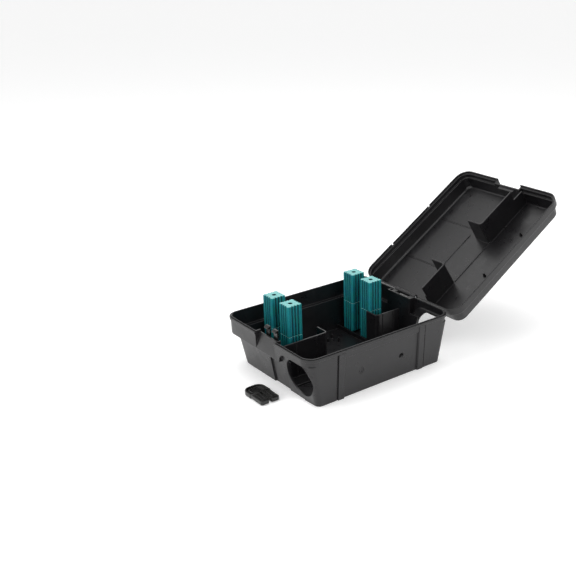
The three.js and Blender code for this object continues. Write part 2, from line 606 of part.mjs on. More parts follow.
function lid() {
  const r = KNUCKLE_DIAMETER / 2;
  const half = EAR_INNER - FIT - 0.1;
  const knuckle = cylinder([-half, HINGE_Y, HINGE_Z], [half, HINGE_Y, HINGE_Z], r);
  const tongue = alongX([
    [HINGE_Y - 4, RIM_HEIGHT + 3], [HINGE_Y + 2, HINGE_Z], [HINGE_Y + 3.9, HINGE_Z + 0.5],
    [HINGE_Y + 1.5, RIM_HEIGHT + 8], [HINGE_Y - 4, RIM_HEIGHT + 8],
  ], -half, half);
  // the band is notched beside the knuckle so that the ears have room to turn
  const notch = box(-LOCK_BAY_HALF_WIDTH, LOCK_BAY_HALF_WIDTH, HINGE_Y - KNUCKLE_DIAMETER / 2 - 1.4,
    HINGE_Y + 9, SKIRT_BOTTOM - 1, HINGE_Z + KNUCKLE_DIAMETER / 2 + 0.8);
  let body = cut(lidClosed(), sideGrip(), notch);
  body = union(body, knuckle, tongue);
  const bore = cylinder([-half - 1, HINGE_Y, HINGE_Z], [half + 1, HINGE_Y, HINGE_Z],
    HINGE_PIN_DIAMETER / 2 + PIN_FIT, 24);
  return cut(body, bore).translate([0, -HINGE_Y, -HINGE_Z]);
}

// ---- lock ----
function finger() {
  const t = FINGER_THICKNESS / 2;
  const barbBase = SHELF_TOP + 0.5 - FINGER_PIVOT_Z;
  const top = FINGER_TOP - FINGER_PIVOT_Z;
  return alongX([
    [-t, -2], [t + 5, -1.1], [t + 5, 1.6], [t, 1.6], [t, top], [-t, top], [-t - BARB, barbBase + 1.6],
    [-t - BARB, barbBase], [-t, barbBase],
  ], -FINGER_WIDTH / 2, FINGER_WIDTH / 2);
}

function lockFrame() {
  // a clipped-in block that holds the roots of both fingers
  const half = FINGER_SPACING / 2 + FINGER_WIDTH / 2 + 3;
  const top = FINGER_PIVOT_Z - 2 - FIT;
  const body = box(-half, half, stepInner(top - 12) + FIT, LOCK_BACK_Y, top - 12, top);
  const legs = [-1, 1].map((s) => box(s * half - 1.5, s * half + 1.5, stepInner(WALL) + FIT, LOCK_BACK_Y,
    WALL + FIT, top));
  return union(body, ...legs);
}

// ---- bait ----
function fluted(half, inset) {
  const flutes = 4;
  const chamfer = 2.4;
  const depth = 1.5;
  const reach = half - inset;
  const side = [];
  const span = 2 * (half - chamfer);
  for (let i = 0; i < flutes; i += 1) {
    const a = -half + chamfer + (span * i) / flutes;
    const w = span / flutes;
    side.push([a + w * 0.14, -reach], [a + w * 0.86, -reach]);
    if (i < flutes - 1) side.push([a + w, -reach + depth]);
  }
  const loop = [];
  for (let k = 0; k < 4; k += 1) {
    const t = k * Math.PI / 2;
    const [c, s] = [Math.cos(t), Math.sin(t)];
    for (const [x, y] of side) loop.push([x * c - y * s, x * s + y * c]);
  }
  return loop;
}

function baitBlock() {
  const half = BLOCK_SIDE / 2;
  const body = union(
    upZ(fluted(half, 0), 1, BLOCK_HEIGHT - 1),
    upZ(fluted(half, 1), 0, BLOCK_HEIGHT));
  return cut(body, cylinder([0, 0, -1], [0, 0, BLOCK_HEIGHT + 1], BLOCK_HOLE_DIAMETER / 2, 20));
}

function baitRod() {
  const r = ROD_DIAMETER / 2;
  const tip = STACK_TOP - ROD_SHORTFALL;
  return union(
    cylinder([0, 0, 1 + FIT], [0, 0, tip - 2], r, 24),
    cylinder([0, 0, tip - 2.001], [0, 0, tip], r, 24, r * 0.5));
}

// ---- loose parts ----
function key() {
  const w = KEY_WIDTH / 2;
  const ring = 24;
  const floor = KEY_THICKNESS - KEY_POCKET;
  const oval = (inset, z0, z1) => upZ(
    roundedLoop(inset, ring - inset * 0.6, -w + inset, w - inset,
      [11, 4, 4, 11].map((q) => Math.max(q - inset, 1))),
    z0, z1);
  const head = cut(oval(0, 0, KEY_THICKNESS), oval(2.6, floor, KEY_THICKNESS + 1));
  const innerRing = cut(oval(5, floor - 0.5, KEY_THICKNESS - 0.8), oval(7, floor, KEY_THICKNESS));
  const tines = [-1, 1].map((s) => {
    const y = s * KEY_TINE_SPACING / 2;
    const half = KEY_TINE_WIDTH / 2;
    const blade = upZ(roundedLoop(ring - 4, KEY_LENGTH, y - half, y + half, [0.5, 3.6, 3.6, 0.5]),
      0.4, KEY_THICKNESS - 0.3);
    const flutes = [-1, 1].map((k) => box(ring + 4, KEY_LENGTH - 4, y + k * half * 0.42 - 0.8,
      y + k * half * 0.42 + 0.8, KEY_THICKNESS - 1.9, KEY_THICKNESS + 1));
    return cut(blade, ...flutes);
  });
  const nub = box(ring - 5, ring - 1, w - 2, w + 1.6, 0.6, KEY_THICKNESS - 1.2);
  return union(head, innerRing, nub, ...tines);
}

const group = new THREE.Group();
group.name = 'bait_station';
group.add(piece('base_tub', tub(), plasticBlack()));

const lidHinge = new THREE.Group();
lidHinge.name = 'lid_hinge';
lidHinge.position.set(0, HINGE_Y, HINGE_Z);
lidHinge.rotation.x = THREE.MathUtils.degToRad(-OPEN_ANGLE);
lidHinge.add(piece('lid', lid(), plasticBlack()));
group.add(lidHinge);

const pin = piece('hinge_pin', cylinder([-LOCK_BAY_HALF_WIDTH, 0, 0], [LOCK_BAY_HALF_WIDTH, 0, 0],
  HINGE_PIN_DIAMETER / 2, 24), steel());
pin.position.set(0, HINGE_Y, HINGE_Z);
group.add(pin);

group.add(piece('lock_frame', lockFrame(), plasticGloss()));
for (const [name, s] of [['left', -1], ['right', 1]]) {
  const mesh = piece(`latch_finger_${name}`, finger(), plasticGloss());
  mesh.position.set(s * FINGER_SPACING / 2, FINGER_Y, FINGER_PIVOT_Z);
  group.add(mesh);
}

for (const [name, x, y] of rodPlaces()) {
  const rod = piece(`bait_rod_${name}`, baitRod(), steel());
  rod.position.set(x, y, 0);
  group.add(rod);
  for (const [level, z] of [['lower', BLOCK_BASE], ['upper', BLOCK_BASE + BLOCK_HEIGHT + BLOCK_JOINT_GAP]]) {
    const block = piece(`bait_block_${name}_${level}`, baitBlock(), bait());
    block.position.set(x, y, z);
    group.add(block);
  }
}

const plugX = sideRight(ANCHOR_Z) - PANEL_RECESS;
// the plug is dished, so that a screwdriver finds its middle
const plugBody = cut(
  cylinder([-WALL + 0.4, 0, 0], [0, 0, 0], ANCHOR_HOLE_DIAMETER / 2 - FIT, 24),
  cylinder([-PLUG_DISH, 0, 0], [1, 0, 0], ANCHOR_HOLE_DIAMETER * 0.2, 20, ANCHOR_HOLE_DIAMETER * 0.36));
const plug = piece('anchor_hole_plug', plugBody, plasticBlack());
plug.position.set(plugX - 0.3, -ANCHOR_HOLE_PITCH / 2, ANCHOR_Z);
group.add(plug);

const looseKey = piece('key', key(), plasticGloss());
looseKey.position.set(-2, -HALF_L - 23, 0.3);
group.add(looseKey);

export default group;
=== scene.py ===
"""Bait station: the looks of tub, lid, lock, rods, bait and key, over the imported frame.

Laid out as an add-on and run as a script. Lengths are in metres unless a name says mm.
"""
import math

import bmesh
import bpy
from bpy.props import FloatProperty, FloatVectorProperty, IntProperty, PointerProperty
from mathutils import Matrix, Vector, noise
from mathutils.bvhtree import BVHTree


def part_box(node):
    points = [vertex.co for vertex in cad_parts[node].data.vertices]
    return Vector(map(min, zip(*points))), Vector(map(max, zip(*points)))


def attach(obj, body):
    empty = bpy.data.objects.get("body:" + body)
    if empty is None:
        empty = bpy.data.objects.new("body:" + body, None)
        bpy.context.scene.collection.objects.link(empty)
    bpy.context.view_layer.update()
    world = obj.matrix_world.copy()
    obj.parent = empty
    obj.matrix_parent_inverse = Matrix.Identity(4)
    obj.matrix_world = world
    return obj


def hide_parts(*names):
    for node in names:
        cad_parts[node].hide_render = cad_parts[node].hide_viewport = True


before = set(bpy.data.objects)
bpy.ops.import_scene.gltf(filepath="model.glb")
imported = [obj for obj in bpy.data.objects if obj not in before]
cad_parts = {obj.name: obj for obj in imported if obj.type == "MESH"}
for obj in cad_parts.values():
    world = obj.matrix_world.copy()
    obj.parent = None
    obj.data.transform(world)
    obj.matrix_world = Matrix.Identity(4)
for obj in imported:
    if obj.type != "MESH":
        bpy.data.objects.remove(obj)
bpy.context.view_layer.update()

bl_info = {
    "name": "Bait station looks",
    "version": (1, 0, 0),
    "blender": (4, 5, 0),
    "location": "View3D > Sidebar > Bait station",
    "description": "Builds the visible pieces and the finishes of a rodent bait station on its frame",
    "category": "Object",
}

MM = 0.001
STACKS = ("front_left", "front_right", "back_left", "back_right")
LOCK_EDGE_MM = 0.4
FINGER_EDGE_MM = 0.6
PLUG_EDGE_MM = 0.25
KEY_EDGE_MM = 0.7
BLOCK_END_ROUNDING = 1.3 * MM
BLOCK_ROUNDING_STEPS = 5
BLOCK_CAP_STEPS = 6
BLOCK_CORNER_SHARE = 0.19  # corner chamfer as a share of half the block's side
HOLE_LIP = 0.7 * MM
PIN_END_EASE = 0.4 * MM
LAMP_TARGET = Vector((0.0, 0.0, 0.05))
TABLE_REACH = 20.0
TABLE_DROP = 0.0002


# ---- colour and node helpers ----
def linear(code):
    """An sRGB hex code as linear red, green, blue and alpha."""
    parts = [int(code[i:i + 2], 16) / 255 for i in (1, 3, 5)]
    return tuple(c / 12.92 if c <= 0.04045 else ((c + 0.055) / 1.055) ** 2.4 for c in parts) + (1.0,)


def add(tree, kind, links=None, sockets=None, stops=None, **settings):
    """A node with its settings: links and sockets by name or number, ramp stops, then node attributes."""
    node = tree.nodes.new(kind)
    for key, value in settings.items():
        setattr(node, key, value)
    for key, value in (sockets or {}).items():
        node.inputs[key].default_value = value
    for key, source in (links or {}).items():
        tree.links.new(source, node.inputs[key])
    if stops:
        band = node.color_ramp
        while len(band.elements) < len(stops):
            band.elements.new(0.5)
        for element, (place, colour) in zip(band.elements, stops):
            element.position = place
            element.color = colour
    return node


def blank_material(name):
    """An empty node material and its tree."""
    material = bpy.data.materials.new(name)
    material.use_nodes = True
    material.node_tree.nodes.clear()
    return material, material.node_tree


def moulded_polypropylene(look):
    """Charcoal polypropylene, injection moulded in a spark-eroded tool.

    It gives a dark satin skin with a fine even grain, smoother where handling has polished it, and faint
    flow clouds left by the melt.
    """
    material, tree = blank_material("moulded_polypropylene")
    coords = add(tree, "ShaderNodeTexCoord").outputs["Object"]
    # flow clouds about 45 mm across
    clouds = add(tree, "ShaderNodeTexNoise", {"Vector": coords},
                 {"Scale": 1 / (45 * MM), "Detail": 3.0, "Roughness": 0.55})
    # the real eroded grain is about 0.1 mm, too fine to show, so it is drawn at the size of the property
    grain = add(tree, "ShaderNodeTexNoise", {"Vector": coords},
                {"Scale": 1 / (look.grain_mm * MM), "Detail": 2.0, "Roughness": 0.6})
    # rubbed places about 14 mm across
    rubs = add(tree, "ShaderNodeTexNoise", {"Vector": coords},
               {"Scale": 1 / (14 * MM), "Detail": 5.0, "Roughness": 0.7, "Distortion": 0.6})
    shade = add(tree, "ShaderNodeValToRGB", {"Fac": clouds.outputs["Fac"]},
                stops=[(0.3, shaded(look.charcoal, 0.82)), (0.7, shaded(look.charcoal, 1.2))])
    speck = add(tree, "ShaderNodeMix", {0: grain.outputs["Fac"], 6: shade.outputs["Color"]},
                {7: linear("#8a898c")}, data_type="RGBA", blend_type="SOFT_LIGHT")
    rough = add(tree, "ShaderNodeMapRange", {"Value": rubs.outputs["Fac"]},
                {"From Min": 0.35, "From Max": 0.7, "To Min": look.roughness + 0.05,
                 "To Max": look.roughness - 0.09})
    bump = add(tree, "ShaderNodeBump", {"Height": grain.outputs["Fac"]},
               {"Strength": 0.35, "Distance": 0.05 * MM})
    shader = add(tree, "ShaderNodeBsdfPrincipled",
                 {"Base Color": speck.outputs[2], "Roughness": rough.outputs["Result"],
                  "Normal": bump.outputs["Normal"]}, {"IOR": 1.49})
    add(tree, "ShaderNodeOutputMaterial", {"Surface": shader.outputs["BSDF"]})
    return material


def glossy_acetal(look):
    """Black acetal, moulded in a polished tool.

    It gives near-black springs and key with clear soft reflections and hairline handling scratches.
    """
    material, tree = blank_material("glossy_acetal")
    coords = add(tree, "ShaderNodeTexCoord").outputs["Object"]
    # handling scuffs about 2.5 mm across
    scuffs = add(tree, "ShaderNodeTexNoise", {"Vector": coords},
                 {"Scale": 1 / (2.5 * MM), "Detail": 6.0, "Roughness": 0.7, "Distortion": 1.2})
    tone = add(tree, "ShaderNodeValToRGB", {"Fac": scuffs.outputs["Fac"]},
               stops=[(0.35, shaded(look.gloss_black, 0.7)), (0.75, shaded(look.gloss_black, 1.6))])
    rough = add(tree, "ShaderNodeMapRange", {"Value": scuffs.outputs["Fac"]},
                {"From Min": 0.3, "From Max": 0.75, "To Min": look.gloss_roughness,
                 "To Max": look.gloss_roughness + 0.16})
    bump = add(tree, "ShaderNodeBump", {"Height": scuffs.outputs["Fac"]},
               {"Strength": 0.25, "Distance": 0.06 * MM})
    shader = add(tree, "ShaderNodeBsdfPrincipled",
                 {"Base Color": tone.outputs["Color"], "Roughness": rough.outputs["Result"],
                  "Normal": bump.outputs["Normal"]}, {"IOR": 1.48})
    add(tree, "ShaderNodeOutputMaterial", {"Surface": shader.outputs["BSDF"]})
    return material


def drawn_steel_wire():
    """Mild steel wire, drawn through a die.

    It gives a grey metal with fine lines along its length and duller patches where oil has dried.
    """
    material, tree = blank_material("drawn_steel_wire")
    coords = add(tree, "ShaderNodeTexCoord").outputs["Object"]
    # die lines about 0.35 mm apart, drawn out along the wire
    drawn_out = add(tree, "ShaderNodeMapping", {"Vector": coords}, {"Scale": (1.0, 1.0, 0.04)})
    lines = add(tree, "ShaderNodeTexNoise", {"Vector": drawn_out.outputs["Vector"]},
                {"Scale": 1 / (0.35 * MM), "Detail": 3.0})
    # oil patches about 6 mm across
    patches = add(tree, "ShaderNodeTexNoise", {"Vector": coords}, {"Scale": 1 / (6 * MM), "Detail": 4.0})
    tone = add(tree, "ShaderNodeValToRGB", {"Fac": patches.outputs["Fac"]},
               stops=[(0.35, linear("#8d9093")), (0.7, linear("#c6c8ca"))])
    rough = add(tree, "ShaderNodeMapRange", {"Value": patches.outputs["Fac"]},
                {"From Min": 0.3, "From Max": 0.7, "To Min": 0.42, "To Max": 0.26})
    bump = add(tree, "ShaderNodeBump", {"Height": lines.outputs["Fac"]},
               {"Strength": 0.3, "Distance": 0.04 * MM})
    shader = add(tree, "ShaderNodeBsdfPrincipled",
                 {"Base Color": tone.outputs["Color"], "Roughness": rough.outputs["Result"],
                  "Normal": bump.outputs["Normal"]}, {"Metallic": 1.0})
    add(tree, "ShaderNodeOutputMaterial", {"Surface": shader.outputs["BSDF"]})
    return material


def pressed_wax_bait(look):
    """Grain bound in paraffin wax, pressed and extruded, dyed teal.

    It gives a deep waxy colour with a little light through the edges, crumbs of grain that catch the light,
    painted shade in the grooves, a painted highlight on the ridge crests, and pale pressed ends that are
    partly chalky wax and partly a painted sheen of the light from above.
    """
    material, tree = blank_material("pressed_wax_bait")
    coords = add(tree, "ShaderNodeTexCoord").outputs["Object"]
    # milled grain at the size of the property, wax crumb about 0.9 mm and dye clouds about 11 mm across
    kernels = add(tree, "ShaderNodeTexVoronoi", {"Vector": coords}, {"Scale": 1 / (look.kernel_mm * MM)})
    crumb = add(tree, "ShaderNodeTexNoise", {"Vector": coords},
                {"Scale": 1 / (0.9 * MM), "Detail": 4.0, "Roughness": 0.7})
    clouds = add(tree, "ShaderNodeTexNoise", {"Vector": coords}, {"Scale": 1 / (11 * MM), "Detail": 3.0})
    crest = add(tree, "ShaderNodeAttribute", attribute_name="crest").outputs["Fac"]
    cut_end = add(tree, "ShaderNodeAttribute", attribute_name="cut_end").outputs["Fac"]
    # painted shade in the grooves and a painted highlight on the ridge crests, both from the crest attribute;
    # the hole lip gets the painted groove shade too
    body = add(tree, "ShaderNodeValToRGB", {"Fac": crest},
               stops=[(0.2, shaded(look.groove_shade)), (0.7, shaded(look.wax)), (1.0, shaded(look.ridge))])
    clouded = add(tree, "ShaderNodeMix", {6: body.outputs["Color"], 7: clouds.outputs["Color"]}, {0: 0.35},
                  data_type="RGBA", blend_type="SOFT_LIGHT")
    # pale specks of grain
    speck = add(tree, "ShaderNodeMapRange", {"Value": crumb.outputs["Fac"]},
                {"From Min": 0.56, "From Max": 0.72, "To Min": 0.0, "To Max": look.speck_share})
    specked = add(tree, "ShaderNodeMix", {0: speck.outputs["Result"], 6: clouded.outputs[2]},
                  {7: shaded(look.speck)}, data_type="RGBA")
    # pale pressed ends and their rims, partly chalky wax and partly a painted sheen of the light from above,
    # broken up by the crumb
    broken = add(tree, "ShaderNodeMath", {0: cut_end, 1: crumb.outputs["Fac"]}, operation="MULTIPLY")
    strength = add(tree, "ShaderNodeMapRange", {"Value": broken.outputs["Value"]},
                   {"From Min": 0.12, "From Max": 0.5, "To Min": 0.0, "To Max": 1.0})
    with_bloom_and_sheen = add(tree, "ShaderNodeMix", {0: strength.outputs["Result"], 6: specked.outputs[2]},
                  {7: shaded(look.bloom_and_sheen)}, data_type="RGBA")
    height = add(tree, "ShaderNodeMath", {0: kernels.outputs["Distance"], 1: crumb.outputs["Fac"]},
                 operation="ADD")
    bump = add(tree, "ShaderNodeBump", {"Height": height.outputs["Value"]},
               {"Strength": 0.55, "Distance": 0.3 * MM})
    rough = add(tree, "ShaderNodeMapRange", {"Value": crumb.outputs["Fac"]},
                {"From Min": 0.3, "From Max": 0.7, "To Min": 0.48, "To Max": 0.72})
    shader = add(tree, "ShaderNodeBsdfPrincipled",
                 {"Base Color": with_bloom_and_sheen.outputs[2], "Roughness": rough.outputs["Result"],
                  "Normal": bump.outputs["Normal"]},
                 {"IOR": 1.44, "Specular IOR Level": 0.3, "Subsurface Weight": 0.1,
                  "Subsurface Radius": (0.4, 1.0, 1.0), "Subsurface Scale": 1.2 * MM})
    add(tree, "ShaderNodeOutputMaterial", {"Surface": shader.outputs["BSDF"]})
    return material


def lit_acrylic_table(stage):
    """Opal acrylic sheet, cast, lit softly from below as on a product table.

    It gives an even white with hardly any shadow and a very faint mottle.
    """
    material, tree = blank_material("opal_acrylic")
    coords = add(tree, "ShaderNodeTexCoord").outputs["Object"]
    # mottle about 60 mm across
    mottle = add(tree, "ShaderNodeTexNoise", {"Vector": coords}, {"Scale": 1 / (60 * MM), "Detail": 3.0})
    tone = add(tree, "ShaderNodeValToRGB", {"Fac": mottle.outputs["Fac"]},
               stops=[(0.3, shaded(stage.floor, 0.985)), (0.7, shaded(stage.floor))])
    shader = add(tree, "ShaderNodeBsdfPrincipled", {"Base Color": tone.outputs["Color"]},
                 {"Roughness": 0.85, "Specular IOR Level": 0.1, "Emission Color": (1.0, 1.0, 1.0, 1.0),
                  "Emission Strength": stage.table_glow})
    add(tree, "ShaderNodeOutputMaterial", {"Surface": shader.outputs["BSDF"]})
    return material


def shaded(colour, share=1.0):
    """A property colour, darker or lighter by a share, with its alpha."""
    return tuple(min(1.0, c * share) for c in colour) + (1.0,)


# ---- mesh helpers ----
def object_from(bm, name, material):
    """A linked object made of a finished bmesh, smooth shaded, with its finish."""
    mesh = bpy.data.meshes.new(name)
    bm.to_mesh(mesh)
    bm.free()
    for polygon in mesh.polygons:
        polygon.use_smooth = True
    mesh.materials.append(material)
    obj = bpy.data.objects.new(name, mesh)
    bpy.context.scene.collection.objects.link(obj)
    return obj


def settle(obj):
    """Applies the object's modifiers, so that its mesh is final."""
    graph = bpy.context.evaluated_depsgraph_get()
    graph.update()
    final = bpy.data.meshes.new_from_object(obj.evaluated_get(graph), depsgraph=graph)
    obj.modifiers.clear()
    obj.data = final
    return obj


def gather(obj, node, reach):
    """Brings back to the solid the few points that easing throws off it where short edges meet.

    A point further than reach from the solid goes to the nearest place on it, and all stay in its box.
    """
    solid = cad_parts[node].data
    surface = BVHTree.FromPolygons([v.co for v in solid.vertices], [p.vertices for p in solid.polygons])
    low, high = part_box(node)
    for v in obj.data.vertices:
        near, _, _, away = surface.find_nearest(v.co)
        place = near if away > reach else v.co
        v.co = [min(max(c, a), b) for c, a, b in zip(place, low, high)]


def moulding(node, name, edge_mm, material, body, flat_limit=28.0):
    """A moulded piece over a CAD solid: flat faces made whole again, sharp edges eased to a radius."""
    bm = bmesh.new()
    bm.from_mesh(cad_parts[node].data)
    bmesh.ops.remove_doubles(bm, verts=bm.verts, dist=0.004 * MM)
    bmesh.ops.dissolve_degenerate(bm, edges=bm.edges, dist=0.02 * MM)
    bmesh.ops.dissolve_limit(bm, angle_limit=math.radians(0.8), verts=bm.verts, edges=bm.edges)
    # a face with a hole in it doesn't survive the easing whole, so it goes in as triangles and quads
    bmesh.ops.triangulate(bm, faces=[face for face in bm.faces if len(face.verts) > 4])
    bmesh.ops.join_triangles(bm, faces=bm.faces, angle_face_threshold=math.radians(1.0),
                             angle_shape_threshold=math.radians(60.0))
    obj = object_from(bm, name, material)
    eased = obj.modifiers.new("eased_edges", "BEVEL")
    eased.width = edge_mm * MM
    eased.segments = 3
    eased.limit_method = "ANGLE"
    eased.angle_limit = math.radians(flat_limit)
    eased.use_clamp_overlap = False
    eased.harden_normals = False
    eased.miter_outer = "MITER_ARC"
    even = obj.modifiers.new("even_faces", "WEIGHTED_NORMAL")
    even.keep_sharp = False
    even.weight = 80
    settle(obj)
    gather(obj, node, edge_mm * MM)
    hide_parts(node)
    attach(obj, body)
    return obj


def bait_outline(half, look):
    """The block's plan outline as (x, y, crest), each side a row of rounded ridges between narrow grooves."""
    chamfer = BLOCK_CORNER_SHARE * half
    depth = look.groove_mm * MM
    flutes, steps = look.flutes, look.flute_steps
    side = []
    span = 2 * (half - chamfer)
    for i in range(flutes):
        for k in range(steps):
            t = k / steps
            swell = math.sin(math.pi * t) if 0 < t < 1 else 0.0
            if i == 0:
                swell = max(swell, 1 - 2 * t) if t < 0.5 else swell
            if i == flutes - 1:
                swell = max(swell, 2 * t - 1) if t > 0.5 else swell
            side.append((-half + chamfer + span * (i + t) / flutes, -half + depth * (1 - swell), swell))
    side.append((half - chamfer, -half, 1.0))
    loop = []
    for turn in range(4):
        c, s = math.cos(turn * math.pi / 2), math.sin(turn * math.pi / 2)
        for x, y, crest in side:
            loop.append((x * c - y * s, x * s + y * c, crest))
    return loop


def bait_block(node, name, look, material, body):
    """One fluted wax block with rounded ends, a hole through its middle and a crumbly skin."""
    low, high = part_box(node)
    middle = (low + high) / 2
    half = (high.x - low.x) / 2
    height = high.z - low.z
    outline = bait_outline(half, look)
    hole = look.hole_mm / 2 * MM
    rounding, steps = BLOCK_END_ROUNDING, BLOCK_ROUNDING_STEPS
    levels = []  # (height, how far in, how much of a cut end)
    for k in range(steps + 1):
        a = math.pi / 2 * k / steps
        levels.append((rounding * (1 - math.cos(a)), rounding * (1 - math.sin(a)), (1 - k / steps) ** 2))
    rows = round((height - 2 * rounding) / (look.row_mm * MM))
    walls = [(rounding + (height - 2 * rounding) * k / rows, 0.0, 0.0) for k in range(1, rows)]
    top = [(height - z, r, e) for z, r, e in reversed(levels)]
    profile = levels + walls + top
    bm = bmesh.new()
    crest_layer = bm.verts.layers.float.new("crest")
    end_layer = bm.verts.layers.float.new("cut_end")
    rings = []

    def ring(z, inset, end, share=0.0, shadowed=False):
        verts = []
        for x, y, crest in outline:
            reach = math.hypot(x, y)
            scale = (reach - inset) / reach
            px, py = x * scale, y * scale
            if share:
                angle = math.atan2(y, x)
                px = px * (1 - share) + hole * math.cos(angle) * share
                py = py * (1 - share) + hole * math.sin(angle) * share
            v = bm.verts.new((px, py, z))
            v[crest_layer] = 0.0 if shadowed else crest
            v[end_layer] = end
            verts.append(v)
        rings.append(verts)

    cap_steps, lip = BLOCK_CAP_STEPS, HOLE_LIP
    ring(lip, rounding, 0.0, 1.0, True)
    for k in range(cap_steps, 0, -1):
        ring(0.0, rounding, 1.0, k / cap_steps)
    for z, inset, end in profile:
        ring(z, inset, end)
    for k in range(1, cap_steps + 1):
        ring(height, rounding, 1.0, k / cap_steps)
    ring(height - lip, rounding, 0.0, 1.0, True)
    count = len(outline)
    for a, b in zip(rings, rings[1:] + rings[:1]):
        for i in range(count):
            j = (i + 1) % count
            bm.faces.new((a[i], a[j], b[j], b[i]))
    bmesh.ops.recalc_face_normals(bm, faces=bm.faces)
    bm.normal_update()
    offset = Vector((middle.x * 1.7, middle.y * 1.3, low.z))
    for v in bm.verts:
        place = (v.co + offset) / MM
        pits = 0.5 + 0.5 * noise.noise(place * 0.55)
        crumbs = 0.5 + 0.5 * noise.noise(place * 1.4 + Vector((7, 3, 5)))
        depth = look.pit_mm * MM * (0.6 * pits + 0.4 * crumbs) * (0.45 if v[end_layer] >= 1.0 else 1.0)
        v.co -= v.normal * depth
    for v in bm.verts:
        v.co += Vector((middle.x, middle.y, low.z))
    obj = object_from(bm, name, material)
    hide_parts(node)
    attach(obj, body)
    return obj


def turned(node, name, axis, profile, material, body, sides=40):
    """A round piece turned about a line: profile is (place along the axis, radius), both in metres."""
    low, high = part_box(node)
    middle = (low + high) / 2
    bm = bmesh.new()
    rings = []
    for place, radius in profile:
        verts = []
        for i in range(sides):
            a = 2 * math.pi * i / sides
            u, v = radius * math.cos(a), radius * math.sin(a)
            lying = (place, middle.y + u, middle.z + v)
            upright = (middle.x + u, middle.y + v, place)
            co = lying if axis == "X" else upright
            verts.append(bm.verts.new(co))
        rings.append(verts)
    for a, b in zip(rings, rings[1:]):
        for i in range(sides):
            j = (i + 1) % sides
            bm.faces.new((a[i], a[j], b[j], b[i]))
    bm.faces.new(rings[0])
    bm.faces.new(rings[-1])
    bmesh.ops.recalc_face_normals(bm, faces=bm.faces)
    obj = object_from(bm, name, material)
    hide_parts(node)
    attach(obj, body)
    return obj


# ---- settings ----
class PlasticLook(bpy.types.PropertyGroup):
    charcoal: FloatVectorProperty(
        name="Charcoal", description="Colour of the moulded tub and lid", subtype="COLOR", size=3,
        min=0.0, max=1.0, default=linear("#151416")[:3])
    roughness: FloatProperty(
        name="Roughness", description="Roughness of the satin skin", default=0.34, min=0.1, max=0.9)
    gloss_black: FloatVectorProperty(
        name="Gloss black", description="Colour of the polished lock and key", subtype="COLOR", size=3,
        min=0.0, max=1.0, default=linear("#0c0c0b")[:3])
    gloss_roughness: FloatProperty(
        name="Gloss roughness", description="Roughness of the polished lock and key", default=0.22,
        min=0.05, max=0.6)
    grain_mm: FloatProperty(
        name="Grain", description="Size of the eroded grain in millimetres", default=0.8, min=0.2, max=3.0)
    edge_mm: FloatProperty(
        name="Edge radius", description="Radius on the moulded edges in millimetres", default=0.55,
        min=0.1, max=2.0)


class BaitLook(bpy.types.PropertyGroup):
    wax: FloatVectorProperty(
        name="Wax", description="Colour of the dyed wax", subtype="COLOR", size=3, min=0.0, max=1.0,
        default=linear("#066067")[:3])
    # painted shade deep in the grooves
    groove_shade: FloatVectorProperty(
        name="Groove", description="Colour deep in the grooves", subtype="COLOR", size=3, min=0.0, max=1.0,
        default=linear("#032e34")[:3])
    ridge: FloatVectorProperty(
        # painted highlight on the ridge crests
        name="Ridge", description="Colour on the rubbed ridges", subtype="COLOR", size=3, min=0.0, max=1.0,
        default=linear("#107c82")[:3])
    speck: FloatVectorProperty(
        name="Speck", description="Colour of the pale grain specks", subtype="COLOR", size=3, min=0.0,
        max=1.0, default=linear("#4fb0b2")[:3])
    # the pale pressed ends: partly chalky wax, partly a painted sheen of the light from above
    bloom_and_sheen: FloatVectorProperty(
        name="Bloom", description="Colour of the chalky pressed ends", subtype="COLOR", size=3, min=0.0,
        max=1.0, default=linear("#7fbdbb")[:3])
    speck_share: FloatProperty(
        name="Speck share", description="How strongly the pale specks show", default=0.55, min=0.0, max=1.0)
    kernel_mm: FloatProperty(
        name="Kernel", description="Size of the milled grain in millimetres", default=1.3, min=0.4, max=4.0)
    groove_mm: FloatProperty(
        name="Groove depth", description="Depth of the grooves in millimetres", default=2.3, min=0.2, max=3.0)
    hole_mm: FloatProperty(
        name="Hole", description="Diameter of the hole for the rod in millimetres", default=6.6, min=4.6,
        max=8.0)
    pit_mm: FloatProperty(
        name="Pitting", description="Depth of the crumbly skin in millimetres", default=0.3, min=0.0, max=1.0)
    row_mm: FloatProperty(
        name="Row height", description="Height of one row of faces in millimetres", default=1.0, min=0.5,
        max=4.0)
    flutes: IntProperty(name="Ridges", description="Ridges on each side", default=4, min=2, max=8)
    flute_steps: IntProperty(
        name="Ridge steps", description="Faces across one ridge", default=8, min=4, max=20)


